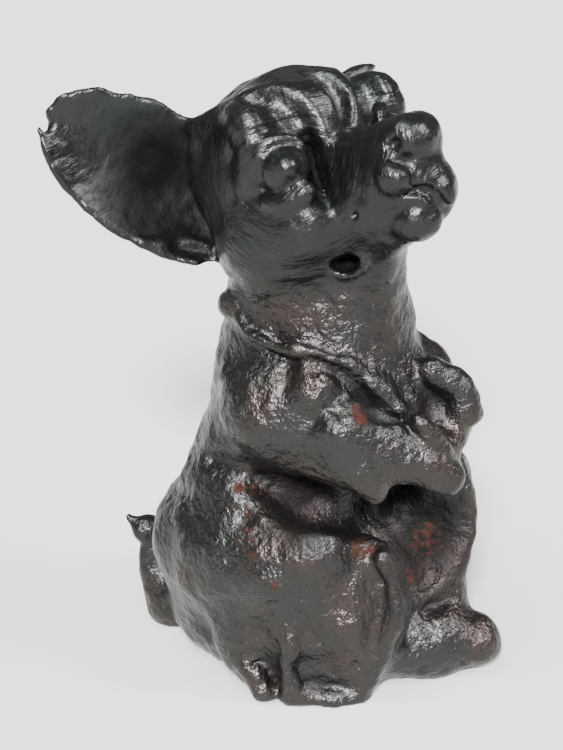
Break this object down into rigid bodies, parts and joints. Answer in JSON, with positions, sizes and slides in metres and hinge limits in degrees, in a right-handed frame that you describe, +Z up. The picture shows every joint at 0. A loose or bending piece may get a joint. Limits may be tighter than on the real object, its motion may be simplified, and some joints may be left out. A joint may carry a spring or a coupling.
{
  "type": "chihuahua garden figure",
  "caption": "Hand-modelled fired clay figure of a chihuahua sitting upright, head raised, forepaws together, under a dark worn coat.",
  "frame": {"origin": "on the floor under the middle of the figure's box", "axes": "+Z up, the body faces -Y, the dog's left side is +X"},
  "size_m": [0.1516, 0.1612, 0.2502],
  "materials": {
    "fired_clay": "fired terracotta under a dark graphite-like coat with a soft metallic sheen, worn to the red clay in places"
  },
  "bodies": {
    "root": {"chihuahua_figure": "fired_clay"}
  },
  "joints": []
}
